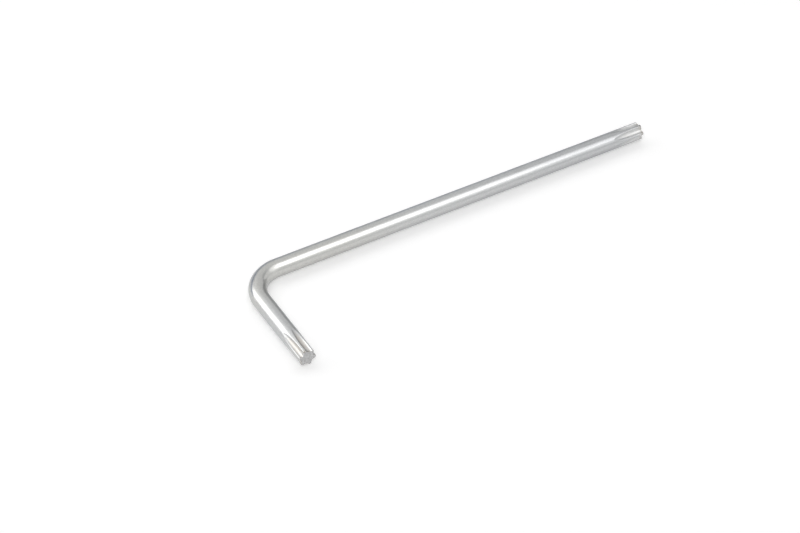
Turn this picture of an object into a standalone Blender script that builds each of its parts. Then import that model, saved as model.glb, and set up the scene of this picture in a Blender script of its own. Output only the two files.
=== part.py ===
"""Star-drive key: one length of round steel bar, bent into an L, with a six-lobed star on each end.

The key lies flat on a surface at Z = 0, with the origin below the middle of its outline. The long arm
points along +X and the short arm along -Y. The whole tool is one piece of steel, so it is one object:
two lofted star tips, an extruded short arm, a spun bend and a long arm bridged to the other tip.
"""

import math

import bmesh
import bpy
from mathutils import Matrix, Vector

MM = 0.001

# The bar and its bend
BAR_DIAMETER = 4.5 * MM
LONG_ARM_LENGTH = 113.2 * MM  # from the short arm's outer side to the long tip's end face
SHORT_ARM_LENGTH = 32.9 * MM  # from the long arm's outer side to the short tip's end face
BEND_RADIUS = 8.4 * MM  # of the bar's centre line

# The star on each end, a size 25 six-lobe drive
STAR_LOBE_DIAMETER = 4.45 * MM  # across opposite lobes
STAR_ROOT_DIAMETER = 3.2 * MM  # across opposite flutes
FLUTE_RADIUS = 0.95 * MM  # of each hollow flute
LOBE_EDGE_RADIUS = 0.32 * MM  # where a lobe rounds over into a flute
RUN_OUT_EDGE_RADIUS = 0.05 * MM  # of that edge where the flute runs out into the round bar
FLUTE_LENGTH = 8.5 * MM  # from the end face to the point where a flute runs out
FULL_DEPTH_LENGTH = 2.2 * MM  # of a flute, before it starts to rise
RUN_OUT_POWER = 1.8  # of the way along the rise, so that a flute ends in a rounded mouth
END_CHAMFER_DEPTH = 0.13 * MM  # off the lobes at the end face
END_CHAMFER_LENGTH = 0.14 * MM

# How far the nearest lobe leans out of the upright, by the right-hand rule about the arm's outward way
LONG_STAR_TURN = math.radians(17)
SHORT_STAR_TURN = math.radians(16.7)

# Facets
LOBES = 6
LAND_STEPS = 3  # across half of a lobe's land
EDGE_STEPS = 3
FLUTE_STEPS = 7
RUN_OUT_STEPS = 12
BEND_STEPS = 20
MOST_EDGE_SHARE = 0.95  # of the edge radius at which a lobe's land would close up
SAME_POINT_SHARE = 0.0001  # of the bar's diameter, under which two points of a section are one
SHARP_EDGE = math.radians(30)

STEEL_COLOUR = (0.6, 0.61, 0.62, 1.0)
STEEL_ROUGHNESS = 0.32

bar_radius = BAR_DIAMETER / 2
lobe_radius = STAR_LOBE_DIAMETER / 2
root_radius = STAR_ROOT_DIAMETER / 2
full_depth = lobe_radius - root_radius
half_sector = math.pi / LOBES

# The L's corner, where the centre lines of the two arms would meet
corner = Vector((bar_radius - LONG_ARM_LENGTH / 2, SHORT_ARM_LENGTH / 2 - bar_radius, bar_radius))
bend_centre = corner + Vector((BEND_RADIUS, -BEND_RADIUS, 0))
long_face = corner + Vector((LONG_ARM_LENGTH - bar_radius, 0, 0))
short_face = corner - Vector((0, SHORT_ARM_LENGTH - bar_radius, 0))


def clear_scene():
    for thing in list(bpy.data.objects):
        bpy.data.objects.remove(thing, do_unlink=True)


def satin_chrome():
    """Satin chrome plate over steel."""
    material = bpy.data.materials.new("satin_chrome")
    material.use_nodes = True
    shader = material.node_tree.nodes["Principled BSDF"]
    shader.inputs["Base Color"].default_value = STEEL_COLOUR
    shader.inputs["Metallic"].default_value = 1.0
    shader.inputs["Roughness"].default_value = STEEL_ROUGHNESS
    return material


def arc(centre, radius, start, end, steps):
    """Points of an arc from angle start to angle end, both among them."""
    points = []
    for step in range(steps + 1):
        angle = start + (end - start) * step / steps
        points.append(centre + radius * Vector((math.cos(angle), math.sin(angle))))
    return points


def closed_edge_radius(crest, flute_centre):
    """The edge radius at which the two edges of a lobe would meet and leave no land between them."""
    lean = math.cos(half_sector)
    gap = flute_centre**2 + crest**2 - 2 * flute_centre * crest * lean - FLUTE_RADIUS**2
    return gap / (2 * (FLUTE_RADIUS + crest - flute_centre * lean))


def sixth_of_section(crest, depth):
    """One sixth of the bar's outline, from the middle of a lobe, across a flute, to the next lobe.

    The lobes stand at radius crest, and the flute, this deep, has its middle at angle 0. Its hollow arc
    meets the lands through a rounded edge on each side. With no depth the flute shrinks to a point.
    """
    flute_centre = crest - depth + FLUTE_RADIUS
    wanted = RUN_OUT_EDGE_RADIUS + (LOBE_EDGE_RADIUS - RUN_OUT_EDGE_RADIUS) * depth / full_depth
    edge = min(wanted, MOST_EDGE_SHARE * closed_edge_radius(crest, flute_centre))

    # The edge's circle touches the land's circle from inside and the flute's circle from outside.
    edge_centre = crest - edge
    touching = FLUTE_RADIUS + edge
    cosine = (flute_centre**2 + edge_centre**2 - touching**2) / (2 * flute_centre * edge_centre)
    land_end = math.acos(min(1.0, cosine))
    flute_end = math.asin(edge_centre * math.sin(land_end) / touching)

    axis = Vector((0, 0))
    before = edge_centre * Vector((math.cos(land_end), -math.sin(land_end)))
    after = edge_centre * Vector((math.cos(land_end), math.sin(land_end)))
    outline = arc(axis, crest, -half_sector, -land_end, LAND_STEPS)
    outline += arc(before, edge, -land_end, flute_end, EDGE_STEPS)[1:]
    hollow = Vector((flute_centre, 0))
    outline += arc(hollow, FLUTE_RADIUS, math.pi + flute_end, math.pi - flute_end, FLUTE_STEPS)[1:]
    outline += arc(after, edge, -flute_end, land_end, EDGE_STEPS)[1:]
    outline += arc(axis, crest, land_end, half_sector, LAND_STEPS)[1:]
    return outline[:-1]


def section(mesh, place, inward, crest, depth, turn):
    """A ring of vertices this far in from an end face, with a vertex repeated where points meet."""
    sixth = sixth_of_section(crest, depth)
    ring = []
    for lobe in range(LOBES):
        spin = Matrix.Rotation(turn + (2 * lobe + 1) * half_sector, 2)
        for point in sixth:
            across = spin @ point
            where = place @ Vector((across.x, across.y, -inward))
            if ring and (where - ring[-1].co).length < SAME_POINT_SHARE * BAR_DIAMETER:
                ring.append(ring[-1])
            else:
                ring.append(mesh.verts.new(where))
    return ring


def skin(mesh, first, second):
    """Faces between two rings, which shrink to triangles where a flute closes to its run-out point."""
    for here in range(len(first)):
        corners = [first[here - 1], first[here], second[here], second[here - 1]]
        unlike = list(dict.fromkeys(corners))
        if len(unlike) > 2:
            mesh.faces.new(unlike)


def star_tip(mesh, place, turn):
    """A chamfered star whose six flutes rise until they run out, and the open end behind it.

    The rings crowd together towards the run-out, where a flute's mouth closes fastest.
    """
    rings = [
        section(mesh, place, 0, lobe_radius - END_CHAMFER_DEPTH, full_depth - END_CHAMFER_DEPTH, turn),
        section(mesh, place, END_CHAMFER_LENGTH, lobe_radius, full_depth, turn),
    ]
    for step in range(RUN_OUT_STEPS + 1):
        along = math.sin(math.pi / 2 * step / RUN_OUT_STEPS)
        inward = FULL_DEPTH_LENGTH + (FLUTE_LENGTH - FULL_DEPTH_LENGTH) * along
        left = 1 - along**RUN_OUT_POWER
        crest = bar_radius + (lobe_radius - bar_radius) * left
        rings.append(section(mesh, place, inward, crest, full_depth * left, turn))
    mesh.faces.new(rings[0])
    for first, second in zip(rings, rings[1:]):
        skin(mesh, first, second)
    rim = list(dict.fromkeys(rings[-1]))
    return [mesh.edges.get((rim[here - 1], rim[here])) for here in range(len(rim))]


def arm_place(face_centre, outward):
    """The place of an arm's end: local Z points out of its end face, and local X points up."""
    up = Vector((0, 0, 1))
    turned = Matrix((up, outward.cross(up), outward)).transposed()
    return Matrix.Translation(face_centre) @ turned.to_4x4()


def extrude_short_arm(mesh, edges):
    """Runs the bar from the short tip's run-out to the start of the bend."""
    made = bmesh.ops.extrude_edge_only(mesh, edges=edges)["geom"]
    length = SHORT_ARM_LENGTH - bar_radius - BEND_RADIUS - FLUTE_LENGTH
    verts = [item for item in made if isinstance(item, bmesh.types.BMVert)]
    bmesh.ops.translate(mesh, verts=verts, vec=Vector((0, length, 0)))
    rim = set(verts)
    return [item for item in made if isinstance(item, bmesh.types.BMEdge) and rim.issuperset(item.verts)]


def spin_bend(mesh, edges):
    """Sweeps the bar through the quarter turn from the short arm to the long one."""
    made = bmesh.ops.spin(
        mesh,
        geom=edges,
        cent=bend_centre,
        axis=Vector((0, 0, 1)),
        angle=-math.pi / 2,
        steps=BEND_STEPS,
    )
    return [item for item in made["geom_last"] if isinstance(item, bmesh.types.BMEdge)]


def star_key():
    """The whole key as one closed solid."""
    mesh = bmesh.new()
    short_rim = star_tip(mesh, arm_place(short_face, Vector((0, -1, 0))), SHORT_STAR_TURN)
    long_rim = star_tip(mesh, arm_place(long_face, Vector((1, 0, 0))), LONG_STAR_TURN)
    bend_start = extrude_short_arm(mesh, short_rim)
    bend_end = spin_bend(mesh, bend_start)
    bmesh.ops.bridge_loops(mesh, edges=bend_end + long_rim)
    bmesh.ops.recalc_face_normals(mesh, faces=mesh.faces)

    data = bpy.data.meshes.new("star_key")
    mesh.to_mesh(data)
    mesh.free()
    data.shade_smooth()
    data.set_sharp_from_angle(angle=SHARP_EDGE)
    key = bpy.data.objects.new("star_key", data)
    key.data.materials.append(satin_chrome())
    bpy.context.scene.collection.objects.link(key)


clear_scene()
star_key()
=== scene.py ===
"""The looks of the star-drive key: fine star tips and worn satin chrome, on a white studio table."""

import math

import bmesh
import bpy
from mathutils import Matrix, Vector


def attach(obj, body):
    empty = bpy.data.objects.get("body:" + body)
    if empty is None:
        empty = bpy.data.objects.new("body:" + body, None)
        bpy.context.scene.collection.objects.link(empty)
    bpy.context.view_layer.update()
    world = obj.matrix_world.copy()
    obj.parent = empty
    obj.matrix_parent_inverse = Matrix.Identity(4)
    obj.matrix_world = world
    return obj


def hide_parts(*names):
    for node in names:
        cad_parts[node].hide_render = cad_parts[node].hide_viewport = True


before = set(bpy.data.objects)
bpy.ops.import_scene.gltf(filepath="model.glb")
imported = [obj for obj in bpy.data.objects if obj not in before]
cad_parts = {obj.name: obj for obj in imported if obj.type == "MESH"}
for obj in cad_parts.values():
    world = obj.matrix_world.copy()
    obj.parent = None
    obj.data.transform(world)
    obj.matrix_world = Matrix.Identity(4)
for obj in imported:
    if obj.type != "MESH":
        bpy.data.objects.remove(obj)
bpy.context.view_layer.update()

MM = 0.001

# The key's sizes. The lobes' edges are sharper than in the CAD, as the photograph shows them.
BAR_DIAMETER = 4.5 * MM
LONG_ARM_LENGTH = 113.2 * MM
SHORT_ARM_LENGTH = 32.9 * MM
BEND_RADIUS = 8.4 * MM
STAR_LOBE_DIAMETER = 4.45 * MM
STAR_ROOT_DIAMETER = 3.2 * MM
FLUTE_RADIUS = 0.95 * MM
LOBE_EDGE_RADIUS = 0.2 * MM
RUN_OUT_EDGE_RADIUS = 0.05 * MM
FLUTE_LENGTH = 8.5 * MM
FULL_DEPTH_LENGTH = 2.2 * MM
RUN_OUT_POWER = 1.8
END_CHAMFER_DEPTH = 0.13 * MM
END_CHAMFER_LENGTH = 0.14 * MM
LONG_STAR_TURN = math.radians(17)
SHORT_STAR_TURN = math.radians(16.7)

# Facets, finer than in the CAD
LOBES = 6
LAND_STEPS = 6  # across half of a lobe's land
EDGE_STEPS = 6
FLUTE_STEPS = 14
CHAMFER_STEPS = 4
RUN_OUT_STEPS = 44
BEND_STEPS = 72
MOST_EDGE_SHARE = 0.95  # of the edge radius at which a lobe's land would close up
SAME_POINT_SHARE = 0.00001  # of the bar's diameter, under which two points of a section are one
SHARP_EDGE = math.radians(40)

# The sheared end faces
FACE_INSET = 0.05 * MM  # the width of the rim
FACE_DISH = 0.02 * MM  # how far the face lies behind its rim

# Shallow ripples where the bar was pressed round its former, on the inner side of the bend
RIPPLES = 5
RIPPLE_DEPTH = 0.012 * MM

# The camera, where the photograph's was
CAMERA_AZIMUTH = math.radians(-30)
CAMERA_ELEVATION = math.radians(42)
CAMERA_DISTANCE = 670 * MM
CAMERA_AIM = Vector((-20.5 * MM, 0, BAR_DIAMETER / 2))
CAMERA_LENS_MM = 127.4
CAMERA_SENSOR_MM = 36
CAMERA_CLIP_START = 10 * MM

# The studio: a white table and a bright room, in metres
TABLE_SIZE = 3
TABLE_ALBEDO = 0.8
TABLE_ROUGHNESS = 0.6
TABLE_GLOW = 0.34
ROOM_RADIANCE = 0.82
ROOM_COLOUR = (0.997, 0.999, 1.002)
UNIT_SQUARE_HALF = 0.5

# The softboxes that the chrome mirrors, which don't light the table
REFLECTED_LIGHT_DISTANCE = 0.6
REFLECTED_LIGHTS = {
    "right_softbox": {
        "towards": (0.11, -0.39, 0.85),
        "width": 0.34,
        "height": 0.42,
        "radiance": 1.73,
        "colour": (1, 1, 1),
    },
    "right_glow": {
        "towards": (0.28, -0.42, 0.84),
        "width": 0.54,
        "height": 0.46,
        "radiance": 0.6,
        "colour": (1, 1, 1),
    },
    "low_glow": {
        "towards": (0.56, -0.63, 0.54),
        "width": 0.26,
        "height": 0.3,
        "radiance": 0.5,
        "colour": (1, 1, 1),
    },
    "left_softbox": {
        "towards": (-0.64, 0.60, 0.47),
        "width": 0.42,
        "height": 0.36,
        "radiance": 1.9,
        "colour": (1, 0.99, 0.97),
    },
    "back_glow": {
        "towards": (-0.25, 0.55, 0.80),
        "width": 0.5,
        "height": 0.4,
        "radiance": 0.3,
        "colour": (1, 1, 1),
    },
    "low_window": {
        "towards": (0.93, 0.17, 0.3),
        "width": 0.26,
        "height": 0.25,
        "radiance": 0.54,
        "colour": (1, 0.99, 0.97),
    },
}

# The softboxes that light the table, which the chrome doesn't mirror
TABLE_LIGHT_DISTANCE = 2.4
TABLE_LIGHTS = {
    "table_key": {
        "towards": (0.3, 0.6, 0.85),
        "width": 4.4,
        "height": 2.0,
        "radiance": 1.6,
        "colour": (1, 1, 1),
    },
    "table_fill": {
        "towards": (-0.3, -0.5, 0.8),
        "width": 2.4,
        "height": 2.4,
        "radiance": 2.0,
        "colour": (1, 1, 1),
    },
    "table_side": {
        "towards": (-0.64, 0.60, 0.47),
        "width": 1.68,
        "height": 1.44,
        "radiance": 1.38,
        "colour": (1, 1, 1),
    },
}

# Dark cards that the chrome mirrors
CARDS = {
    "right_card": {
        "foot": (0.43, 0.2),
        "facing": (-0.8, -0.6, 0),
        "bottom": 0,
        "width": 0.56,
        "height": 0.12,
        "colour": (0.16, 0.165, 0.18),
    },
    "right_post": {
        "foot": (0.52, 0.13),
        "facing": (-1, -0.25, 0),
        "bottom": 0,
        "width": 0.09,
        "height": 0.8,
        "colour": (0.14, 0.16, 0.20),
    },
    "right_flag": {
        "foot": (1.16, 0.33),
        "facing": (-1, -0.28, 0),
        "bottom": 1.15,
        "width": 0.34,
        "height": 0.62,
        "colour": (0.14, 0.16, 0.20),
    },
    "back_card": {
        "foot": (-0.03, 0.59),
        "facing": (0.3, -1, 0),
        "bottom": 0,
        "width": 0.84,
        "height": 0.16,
        "colour": (0.11, 0.19, 0.36),
    },
}

# Noise values lie about this middle, and more detail gives a noise finer grain.
NOISE_MIDDLE = 0.5
PLAIN_DETAIL = 2.0
FINE_DETAIL = 3.0

# Satin chrome. The noises are per millimetre of the bar's surface, and the heights are in millimetres. A
# range is where a value goes smoothly from none to all.
CHROME = (0.555, 0.561, 0.559)
CHROME_WARM = (0.562, 0.561, 0.541)
# Painted shade: the chrome gets darker and bluer towards the long tip, standing in for the light falling
# off there.
CHROME_COOL_PAINTED_SHADE = (0.514, 0.522, 0.528)
WARM_RISE_MM = (-8, 4)
WARM_FALL_MM = (25, 55)
# Where the painted shade towards the long tip rises, in millimetres along the bar
PAINTED_SHADE_RISE_MM = (50, 105)
# Painted reflections: the flutes get a lighter colour, warm-tinted at the short tip, standing in for the
# shaded walls and the lit band that they mirror.
SHORT_FLUTES_PAINTED_REFLECTION = (0.620, 0.594, 0.560)
LONG_FLUTES_PAINTED_REFLECTION = (0.655, 0.657, 0.648)
CHROME_WORN = (0.600, 0.600, 0.596)
CHROME_STAINED = (0.300, 0.265, 0.225)
CHROME_AT_THE_RIM = (0.80, 0.81, 0.83)
CHROME_ROUGHNESS = 0.25
ROUGHNESS_OF_CLOUDS = 0.06
ROUGHNESS_OF_LINES = 0.05
ROUGHNESS_OF_SCRATCHES = 0.12
ROUGHNESS_IN_FLUTES = 0.12
ROUGHNESS_LOST_BY_WEAR = 0.09
FLUTE_RANGE = (0.15, 0.8)  # of a flute's full depth
CLOUDS_PER_MM = 0.28
MOTTLE_PER_MM = 3.4
MOTTLE_RANGE = (0.3, 0.7)
MOTTLE_DARKEST = 0.93
MOTTLE_LIGHTEST = 1.055
GRAIN_PER_MM = 18
GRAIN_HEIGHT = 0.0016
PEEL_PER_MM = 1.7
PEEL_HEIGHT = 0.002
LINES_PER_MM = 9
LINES_STRETCH = 0.02
LINES_HEIGHT = 0.002
SCRATCHES_PER_MM = 2.6
SCRATCHES_STRETCH = 0.05
SCRATCHES_SLANT = math.radians(24)
SCRATCHES_WIDTH = 0.012
SCRATCHES_DEPTH = 0.0015
SCRATCHED_RANGE = (0.5, 0.62)  # of the clouds, outside which no scratch shows
NICKS_PER_MM = 5
NICKS_DEPTH = 0.002
NICKS_RANGE = (0.3, 0.6)
LEAST_WEAR = 0.5
STAIN_LENGTH_MM = 1.1
STAIN_PER_MM = 1.3
STAIN_RANGE = (0.42, 0.62)
STAIN_SHARE = 0.75

# The sheared end faces, of bare steel
CUT_STEEL = (0.595, 0.595, 0.600)
CUT_STEEL_DARK = (0.455, 0.450, 0.445)
CUT_ROUGHNESS = 0.55
CUT_ROUGHNESS_RANGE = 0.15
TEAR_LINES_PER_MM = 10
TEAR_LINES_STRETCH = 0.05
TEAR_LINES_HEIGHT = 0.006
PITS_PER_MM = 2.2
PITS_HEIGHT = 0.01
PITS_RANGE = (0.3, 0.7)
PITS_SHARE = 0.5
DARK_RANGE = (0.38, 0.6)

bar_radius = BAR_DIAMETER / 2
lobe_radius = STAR_LOBE_DIAMETER / 2
root_radius = STAR_ROOT_DIAMETER / 2
full_depth = lobe_radius - root_radius
half_sector = math.pi / LOBES
quarter_turn = math.pi / 2
corner = Vector((bar_radius - LONG_ARM_LENGTH / 2, SHORT_ARM_LENGTH / 2 - bar_radius, bar_radius))
bend_centre = corner + Vector((BEND_RADIUS, -BEND_RADIUS, 0))
long_face = corner + Vector((LONG_ARM_LENGTH - bar_radius, 0, 0))
short_face = corner - Vector((0, SHORT_ARM_LENGTH - bar_radius, 0))


def arc(centre, radius, start, end, steps):
    """Points of an arc from angle start to angle end, both among them."""
    points = []
    for step in range(steps + 1):
        angle = start + (end - start) * step / steps
        points.append(centre + radius * Vector((math.cos(angle), math.sin(angle))))
    return points


def closed_edge_radius(crest, flute_centre):
    """The edge radius at which the two edges of a lobe would meet and leave no land between them."""
    lean = math.cos(half_sector)
    gap = flute_centre**2 + crest**2 - 2 * flute_centre * crest * lean - FLUTE_RADIUS**2
    return gap / (2 * (FLUTE_RADIUS + crest - flute_centre * lean))


def sixth_of_section(crest, depth):
    """One sixth of the bar's outline, with how far each point is on a rounded edge of a lobe."""
    flute_centre = crest - depth + FLUTE_RADIUS
    wanted = RUN_OUT_EDGE_RADIUS + (LOBE_EDGE_RADIUS - RUN_OUT_EDGE_RADIUS) * depth / full_depth
    edge = min(wanted, MOST_EDGE_SHARE * closed_edge_radius(crest, flute_centre))

    # The edge's circle touches the land's circle from inside and the flute's circle from outside.
    edge_centre = crest - edge
    touching = FLUTE_RADIUS + edge
    cosine = (flute_centre**2 + edge_centre**2 - touching**2) / (2 * flute_centre * edge_centre)
    land_end = math.acos(min(1.0, cosine))
    flute_end = math.asin(edge_centre * math.sin(land_end) / touching)

    axis = Vector((0, 0))
    before = edge_centre * Vector((math.cos(land_end), -math.sin(land_end)))
    after = edge_centre * Vector((math.cos(land_end), math.sin(land_end)))
    hollow = Vector((flute_centre, 0))
    outline = arc(axis, crest, -half_sector, -land_end, LAND_STEPS)
    outline += arc(before, edge, -land_end, flute_end, EDGE_STEPS)[1:]
    outline += arc(hollow, FLUTE_RADIUS, math.pi + flute_end, math.pi - flute_end, FLUTE_STEPS)[1:]
    outline += arc(after, edge, -flute_end, land_end, EDGE_STEPS)[1:]
    outline += arc(axis, crest, land_end, half_sector, LAND_STEPS)[1:]

    on_land = [0.0] * (LAND_STEPS + 1)
    on_edge = [math.sin(math.pi * step / EDGE_STEPS) for step in range(1, EDGE_STEPS)]
    on_flute = [0.0] * (FLUTE_STEPS + 1)
    shares = on_land + on_edge + on_flute + on_edge + on_land
    return list(zip(outline, shares))[:-1]


def section(mesh, place, inward, crest, depth, turn, rim=0.0):
    """A ring of vertices this far in from an end face, with a vertex repeated where points meet.

    The layer "edge" gets 1 on the lobes' edges, and at least the rim's share all round.
    """
    edge_layer = mesh.verts.layers.float["edge"]
    ring = []
    for lobe in range(LOBES):
        spin = Matrix.Rotation(turn + (2 * lobe + 1) * half_sector, 2)
        for point, share in sixth_of_section(crest, depth):
            across = spin @ point
            where = place @ Vector((across.x, across.y, -inward))
            if ring and (where - ring[-1].co).length < SAME_POINT_SHARE * BAR_DIAMETER:
                ring.append(ring[-1])
            else:
                vert = mesh.verts.new(where)
                vert[edge_layer] = max(share * depth / full_depth, rim)
                ring.append(vert)
    return ring


def skin(mesh, first, second):
    """Faces between two rings, which shrink to triangles where a flute closes to its run-out point."""
    for here in range(len(first)):
        corners = [first[here - 1], first[here], second[here], second[here - 1]]
        unlike = list(dict.fromkeys(corners))
        if len(unlike) > 2:
            mesh.faces.new(unlike)


def chamfer_rings(mesh, place, turn):
    """The rounded chamfer from the end face to the full star."""
    rings = []
    for step in range(CHAMFER_STEPS + 1):
        angle = quarter_turn * step / CHAMFER_STEPS
        less = END_CHAMFER_DEPTH * (1 - math.sin(angle))
        inward = END_CHAMFER_LENGTH * (1 - math.cos(angle))
        rings.append(section(mesh, place, inward, lobe_radius - less, full_depth - less, turn, rim=1.0))
    return rings


def cut_face(mesh, ring, outward):
    """The sheared end face: a narrow rim with a slightly dished face inside it."""
    cap = mesh.faces.new(ring)
    cap.material_index = 1
    inner = bmesh.ops.inset_individual(mesh, faces=[cap], thickness=FACE_INSET)["faces"]
    for face in inner:
        face.material_index = 1
    bmesh.ops.translate(mesh, verts=cap.verts, vec=-outward * FACE_DISH)


def star_tip(mesh, face_centre, outward, turn):
    """A chamfered star whose six flutes rise until they run out, and the open end behind it."""
    place = arm_place(face_centre, outward)
    rings = chamfer_rings(mesh, place, turn)
    for step in range(RUN_OUT_STEPS + 1):
        along = math.sin(quarter_turn * step / RUN_OUT_STEPS)
        inward = FULL_DEPTH_LENGTH + (FLUTE_LENGTH - FULL_DEPTH_LENGTH) * along
        left = 1 - along**RUN_OUT_POWER
        crest = bar_radius + (lobe_radius - bar_radius) * left
        rings.append(section(mesh, place, inward, crest, full_depth * left, turn))
    for first, second in zip(rings, rings[1:]):
        skin(mesh, first, second)
    cut_face(mesh, rings[0], outward)
    rim = list(dict.fromkeys(rings[-1]))
    return [mesh.edges.get((rim[here - 1], rim[here])) for here in range(len(rim))]


def arm_place(face_centre, outward):
    """The place of an arm's end: local Z points out of its end face, and local X points up."""
    up = Vector((0, 0, 1))
    turned = Matrix((up, outward.cross(up), outward)).transposed()
    return Matrix.Translation(face_centre) @ turned.to_4x4()


def extrude_short_arm(mesh, edges):
    """Runs the bar from the short tip's run-out to the start of the bend."""
    made = bmesh.ops.extrude_edge_only(mesh, edges=edges)["geom"]
    length = SHORT_ARM_LENGTH - bar_radius - BEND_RADIUS - FLUTE_LENGTH
    verts = [item for item in made if isinstance(item, bmesh.types.BMVert)]
    bmesh.ops.translate(mesh, verts=verts, vec=Vector((0, length, 0)))
    rim = set(verts)
    return [item for item in made if isinstance(item, bmesh.types.BMEdge) and rim.issuperset(item.verts)]


def spin_bend(mesh, edges):
    """Sweeps the bar through the quarter turn from the short arm to the long one."""
    made = bmesh.ops.spin(
        mesh,
        geom=edges,
        cent=bend_centre,
        axis=Vector((0, 0, 1)),
        angle=-quarter_turn,
        steps=BEND_STEPS,
    )
    return [item for item in made["geom_last"] if isinstance(item, bmesh.types.BMEdge)]


def unrolled(where):
    """A point if the bar were straight: the way along it, the height, and the way out of the bend."""
    out = where - bend_centre
    angle = math.atan2(out.y, -out.x)
    if out.x > 0:
        return Vector((BEND_RADIUS * quarter_turn + out.x, out.z, out.y - BEND_RADIUS))
    if out.y < 0:
        return Vector((out.y, out.z, -out.x - BEND_RADIUS))
    return Vector((BEND_RADIUS * angle, out.z, math.hypot(out.x, out.y) - BEND_RADIUS))


def press_ripples(mesh):
    """Presses the shallow ripples into the inner side of the bend, deepest in its middle."""
    bend_length = BEND_RADIUS * quarter_turn
    for vert in mesh.verts:
        straight = unrolled(vert.co)
        share = straight.x / bend_length
        if 0 < share < 1 and straight.z < 0:
            inner = (straight.z / bar_radius) ** 2
            wave = math.sin(math.pi * share) * (1 - math.cos(2 * math.pi * RIPPLES * share)) / 2
            out = Vector((vert.co.x - bend_centre.x, vert.co.y - bend_centre.y, 0)).normalized()
            vert.co += out * RIPPLE_DEPTH * inner * wave


def key_mesh():
    """The whole key as one closed mesh."""
    mesh = bmesh.new()
    mesh.verts.layers.float.new("edge")
    short_rim = star_tip(mesh, short_face, Vector((0, -1, 0)), SHORT_STAR_TURN)
    long_rim = star_tip(mesh, long_face, Vector((1, 0, 0)), LONG_STAR_TURN)
    bend_start = extrude_short_arm(mesh, short_rim)
    bend_end = spin_bend(mesh, bend_start)
    bmesh.ops.bridge_loops(mesh, edges=bend_end + long_rim)
    bmesh.ops.recalc_face_normals(mesh, faces=mesh.faces)
    press_ripples(mesh)
    data = bpy.data.meshes.new("key")
    mesh.to_mesh(data)
    mesh.free()
    data.shade_smooth()
    data.set_sharp_from_angle(angle=SHARP_EDGE)
    mark_surface(data)
    return data


def mark_surface(data):
    """Gives each point its place on the straightened bar, its depth in a flute and its way to a face."""
    first = unrolled(short_face).x
    last = unrolled(long_face).x
    places = []
    flutes = []
    ways = []
    for vert in data.vertices:
        straight = unrolled(vert.co)
        out = math.hypot(straight.y, straight.z)
        places.extend(straight / MM)
        flutes.append(min(1, max(0, (lobe_radius - out) / full_depth)))
        ways.append(min(straight.x - first, last - straight.x) / MM)
    data.attributes.new("unrolled_mm", "FLOAT_VECTOR", "POINT").data.foreach_set("vector", places)
    data.attributes.new("flute", "FLOAT", "POINT").data.foreach_set("value", flutes)
    data.attributes.new("to_face_mm", "FLOAT", "POINT").data.foreach_set("value", ways)


def new_material(name):
    material = bpy.data.materials.new(name)
    material.use_nodes = True
    return material, material.node_tree, material.node_tree.nodes["Principled BSDF"]


def feed(tree, socket, value):
    """Links a socket to another node's output, or sets it to a plain value."""
    if isinstance(value, bpy.types.NodeSocket):
        tree.links.new(value, socket)
    else:
        socket.default_value = value


def surface_value(tree, name, output="Fac"):
    """A value that the mesh holds for each point."""
    made = tree.nodes.new("ShaderNodeAttribute")
    made.attribute_name = name
    return made.outputs[output]


def calculate(tree, operation, first, second=0.0):
    """One step of arithmetic on sockets or plain values."""
    made = tree.nodes.new("ShaderNodeMath")
    made.operation = operation
    feed(tree, made.inputs[0], first)
    feed(tree, made.inputs[1], second)
    return made.outputs[0]


def times(tree, first, second):
    return calculate(tree, "MULTIPLY", first, second)


def total(tree, values):
    result = values[0]
    for value in values[1:]:
        result = calculate(tree, "ADD", result, value)
    return result


def remap(tree, value, old_low, old_high, new_low, new_high):
    """Carries a value smoothly from one range to another and holds it at the ends."""
    made = tree.nodes.new("ShaderNodeMapRange")
    made.interpolation_type = "SMOOTHSTEP"
    settings = (value, old_low, old_high, new_low, new_high)
    for socket, setting in zip(made.inputs, settings):
        feed(tree, socket, setting)
    return made.outputs[0]


def mix(tree, share, first, second):
    """The first colour where the share is 0, and the second where it is 1."""
    made = tree.nodes.new("ShaderNodeMix")
    made.data_type = "RGBA"
    feed(tree, made.inputs["Factor"], share)
    a, b = [socket for socket in made.inputs if socket.type == "RGBA"]
    feed(tree, a, first)
    feed(tree, b, second)
    return [socket for socket in made.outputs if socket.type == "RGBA"][0]


def noise(tree, place, per_mm, detail=PLAIN_DETAIL):
    made = tree.nodes.new("ShaderNodeTexNoise")
    made.inputs["Scale"].default_value = per_mm
    made.inputs["Detail"].default_value = detail
    feed(tree, made.inputs["Vector"], place)
    return made.outputs[0]


def stretched(tree, place, along, slant=0.0):
    """The place with its way along the bar shortened, which draws a noise out into lines."""
    turned = tree.nodes.new("ShaderNodeVectorRotate")
    turned.rotation_type = "Z_AXIS"
    turned.inputs["Angle"].default_value = slant
    feed(tree, turned.inputs["Vector"], place)
    made = tree.nodes.new("ShaderNodeVectorMath")
    made.operation = "MULTIPLY"
    made.inputs[1].default_value = (along, 1, 1)
    feed(tree, made.inputs[0], turned.outputs[0])
    return made.outputs[0]


def bump(tree, shader, heights):
    """Raises the surface by the sum of the heights, which are in millimetres."""
    made = tree.nodes.new("ShaderNodeBump")
    made.inputs["Strength"].default_value = 1
    made.inputs["Distance"].default_value = MM
    feed(tree, made.inputs["Height"], total(tree, heights))
    feed(tree, shader.inputs["Normal"], made.outputs[0])


def opaque(rgb):
    return (*rgb, 1)


def scratches_on(tree, place):
    """1 in the middle of a few long thin scratches, and 0 elsewhere."""
    lines = noise(tree, stretched(tree, place, SCRATCHES_STRETCH, SCRATCHES_SLANT), SCRATCHES_PER_MM)
    off_middle = calculate(tree, "ABSOLUTE", calculate(tree, "SUBTRACT", lines, NOISE_MIDDLE))
    scratch = remap(tree, off_middle, 0.0, SCRATCHES_WIDTH, 1.0, 0.0)
    somewhere = remap(tree, noise(tree, place, CLOUDS_PER_MM), *SCRATCHED_RANGE, 0.0, 1.0)
    return times(tree, scratch, somewhere)


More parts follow.
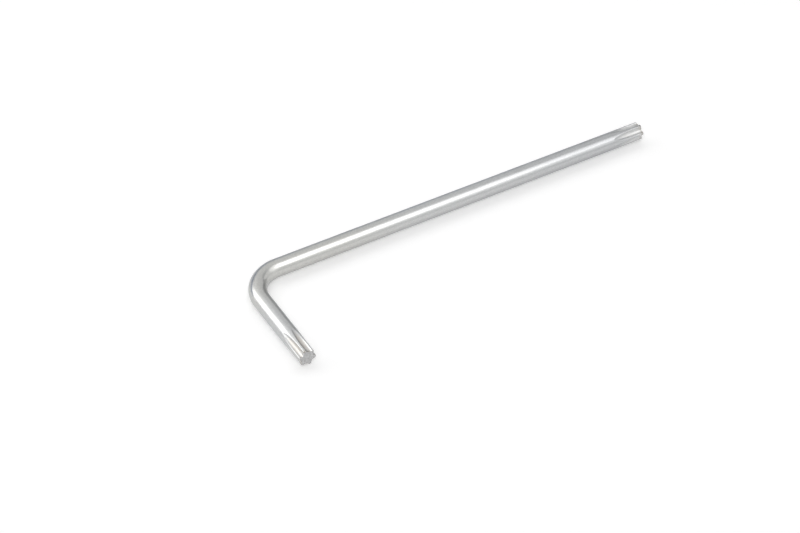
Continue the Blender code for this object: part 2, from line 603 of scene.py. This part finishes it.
def satin_chrome():
    """Plated steel, brushed along the bar, worn on the lobes' edges and stained beside the cut faces."""
    material, tree, shader = new_material("satin_chrome")
    place = surface_value(tree, "unrolled_mm", "Vector")
    clouds = noise(tree, place, CLOUDS_PER_MM, FINE_DETAIL)
    mottle = noise(tree, place, MOTTLE_PER_MM)
    lines = noise(tree, stretched(tree, place, LINES_STRETCH), LINES_PER_MM, FINE_DETAIL)
    grain = noise(tree, place, GRAIN_PER_MM)
    nicks = noise(tree, place, NICKS_PER_MM)
    scratches = scratches_on(tree, place)
    in_flute = remap(tree, surface_value(tree, "flute"), *FLUTE_RANGE, 0.0, 1.0)
    worn = times(tree, surface_value(tree, "edge"), remap(tree, nicks, *NICKS_RANGE, LEAST_WEAR, 1.0))
    near_face = remap(tree, surface_value(tree, "to_face_mm"), 0.0, STAIN_LENGTH_MM, 1.0, 0.0)
    blotches = remap(tree, noise(tree, place, STAIN_PER_MM, FINE_DETAIL), *STAIN_RANGE, 0.0, STAIN_SHARE)
    stain = times(tree, near_face, blotches)

    apart = tree.nodes.new("ShaderNodeSeparateXYZ")
    feed(tree, apart.inputs[0], place)
    along = apart.outputs["X"]
    # The share of painted shade, rising towards the long tip
    far = remap(tree, along, *PAINTED_SHADE_RISE_MM, 0.0, 1.0)
    warm_from = remap(tree, along, *WARM_RISE_MM, 0.0, 1.0)
    warm = times(tree, warm_from, remap(tree, along, *WARM_FALL_MM, 1.0, 0.0))

    shade = mix(tree, warm, opaque(CHROME), opaque(CHROME_WARM))
    # Painted shade: darker, bluer chrome towards the long tip
    shade = mix(tree, far, shade, opaque(CHROME_COOL_PAINTED_SHADE))
    # Painted reflections in the flutes: warm at the short tip, lighter at the long one
    flutes = mix(tree, far, opaque(SHORT_FLUTES_PAINTED_REFLECTION), opaque(LONG_FLUTES_PAINTED_REFLECTION))
    shade = mix(tree, in_flute, shade, flutes)
    shade = mix(tree, worn, shade, opaque(CHROME_WORN))
    shade = mix(tree, stain, shade, opaque(CHROME_STAINED))
    tone = tree.nodes.new("ShaderNodeHueSaturation")
    feed(tree, tone.inputs["Value"], remap(tree, mottle, *MOTTLE_RANGE, MOTTLE_DARKEST, MOTTLE_LIGHTEST))
    feed(tree, tone.inputs["Color"], shade)
    feed(tree, shader.inputs["Base Color"], tone.outputs[0])

    roughness = [
        CHROME_ROUGHNESS,
        times(tree, clouds, ROUGHNESS_OF_CLOUDS),
        times(tree, lines, ROUGHNESS_OF_LINES),
        times(tree, scratches, ROUGHNESS_OF_SCRATCHES),
        times(tree, in_flute, ROUGHNESS_IN_FLUTES),
        times(tree, worn, -ROUGHNESS_LOST_BY_WEAR),
    ]
    feed(tree, shader.inputs["Roughness"], total(tree, roughness))
    shader.inputs["Metallic"].default_value = 1
    shader.inputs["Specular Tint"].default_value = opaque(CHROME_AT_THE_RIM)
    heights = [
        times(tree, grain, GRAIN_HEIGHT),
        times(tree, noise(tree, place, PEEL_PER_MM), PEEL_HEIGHT),
        times(tree, lines, LINES_HEIGHT),
        times(tree, scratches, -SCRATCHES_DEPTH),
        times(tree, times(tree, worn, nicks), -NICKS_DEPTH),
    ]
    bump(tree, shader, heights)
    return material


def cut_steel():
    """Bare sheared steel: grey and matt, with tear lines across it and small pits."""
    material, tree, shader = new_material("cut_steel")
    place = surface_value(tree, "unrolled_mm", "Vector")
    across = tree.nodes.new("ShaderNodeVectorMath")
    across.operation = "MULTIPLY"
    across.inputs[1].default_value = (1, TEAR_LINES_STRETCH, 1)
    feed(tree, across.inputs[0], place)
    tears = noise(tree, across.outputs[0], TEAR_LINES_PER_MM, FINE_DETAIL)
    pits = noise(tree, place, PITS_PER_MM, FINE_DETAIL)
    both = [
        times(tree, tears, 1 - PITS_SHARE),
        times(tree, pits, PITS_SHARE),
    ]
    dark = remap(tree, total(tree, both), *DARK_RANGE, 1.0, 0.0)
    shade = mix(tree, dark, opaque(CUT_STEEL), opaque(CUT_STEEL_DARK))
    feed(tree, shader.inputs["Base Color"], shade)
    roughest = CUT_ROUGHNESS + CUT_ROUGHNESS_RANGE
    feed(tree, shader.inputs["Roughness"], remap(tree, pits, *PITS_RANGE, roughest, CUT_ROUGHNESS))
    shader.inputs["Metallic"].default_value = 1
    heights = [
        times(tree, tears, TEAR_LINES_HEIGHT),
        times(tree, pits, PITS_HEIGHT),
    ]
    bump(tree, shader, heights)
    return material


def table_white():
    """The white table. It glows a little, as the paper on a light table does, so that shadows stay pale."""
    material, _, shader = new_material("table_white")
    shader.inputs["Base Color"].default_value = opaque([TABLE_ALBEDO] * 3)
    shader.inputs["Roughness"].default_value = TABLE_ROUGHNESS
    shader.inputs["Specular IOR Level"].default_value = 0
    shader.inputs["Emission Color"].default_value = opaque([1.0] * 3)
    shader.inputs["Emission Strength"].default_value = TABLE_GLOW
    return material


def card_paper(name, rgb):
    """Plain matt paper."""
    material, _, shader = new_material(name)
    shader.inputs["Base Color"].default_value = opaque(rgb)
    shader.inputs["Roughness"].default_value = 1
    shader.inputs["Specular IOR Level"].default_value = 0
    return material


def add(name, data):
    made = bpy.data.objects.new(name, data)
    bpy.context.scene.collection.objects.link(made)
    return made


def sheet(name, width, height, material):
    """A flat rectangle for the studio."""
    mesh = bmesh.new()
    bmesh.ops.create_grid(mesh, x_segments=1, y_segments=1, size=UNIT_SQUARE_HALF)
    bmesh.ops.scale(mesh, vec=(width, height, 1), verts=mesh.verts)
    data = bpy.data.meshes.new(name)
    mesh.to_mesh(data)
    mesh.free()
    data.materials.append(material)
    made = add(name, data)
    return made


def aim(thing, way):
    """Turns a thing's local Z to this way."""
    thing.rotation_euler = way.to_track_quat("Z", "Y").to_euler()


def add_camera():
    back = Vector(
        (
            math.sin(CAMERA_AZIMUTH) * math.cos(CAMERA_ELEVATION),
            -math.cos(CAMERA_AZIMUTH) * math.cos(CAMERA_ELEVATION),
            math.sin(CAMERA_ELEVATION),
        )
    )
    data = bpy.data.cameras.new("camera")
    data.lens = CAMERA_LENS_MM
    data.sensor_width = CAMERA_SENSOR_MM
    data.clip_start = CAMERA_CLIP_START
    eye = add("camera", data)
    eye.location = CAMERA_AIM + back * CAMERA_DISTANCE
    aim(eye, back)
    bpy.context.scene.camera = eye


def add_softbox(name, distance, towards, width, height, radiance, colour):
    """A softbox that faces the key, of even radiance over its width and height."""
    light = bpy.data.lights.new(name, "AREA")
    light.shape = "RECTANGLE"
    light.size = width
    light.size_y = height
    light.energy = radiance * math.pi * width * height  # a flat lamp gives pi times its radiance per area
    light.color = colour
    lamp = add(name, light)
    way = Vector(towards).normalized()
    lamp.location = way * distance
    aim(lamp, way)
    return lamp


def add_card(name, foot, facing, bottom, width, height, colour):
    """An upright dark card that shows in reflections alone."""
    card = sheet(name, width, height, card_paper(name, colour))
    card.location = (*foot, bottom + height / 2)
    aim(card, Vector(facing))
    card.visible_camera = False
    card.visible_diffuse = False
    card.visible_shadow = False


def add_room():
    """The bright room, which the chrome mirrors. It leaves the lighting of the table to the softboxes."""
    room = bpy.data.worlds.new("room")
    room.use_nodes = True
    background = room.node_tree.nodes["Background"]
    background.inputs["Color"].default_value = opaque(ROOM_COLOUR)
    background.inputs["Strength"].default_value = ROOM_RADIANCE
    bpy.context.scene.world = room
    room.cycles_visibility.diffuse = False
    bpy.context.scene.view_settings.view_transform = "Standard"


def add_key():
    """The visible key, in place of the CAD's."""
    key = add("key", key_mesh())
    key.data.materials.append(satin_chrome())
    key.data.materials.append(cut_steel())
    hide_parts("star_key")
    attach(key, "root")


add_camera()
sheet("table", TABLE_SIZE, TABLE_SIZE, table_white())
add_room()
for name, settings in REFLECTED_LIGHTS.items():
    add_softbox(name, REFLECTED_LIGHT_DISTANCE, **settings).visible_diffuse = False
for name, settings in TABLE_LIGHTS.items():
    add_softbox(name, TABLE_LIGHT_DISTANCE, **settings).visible_glossy = False
for name, settings in CARDS.items():
    add_card(name, **settings)
add_key()
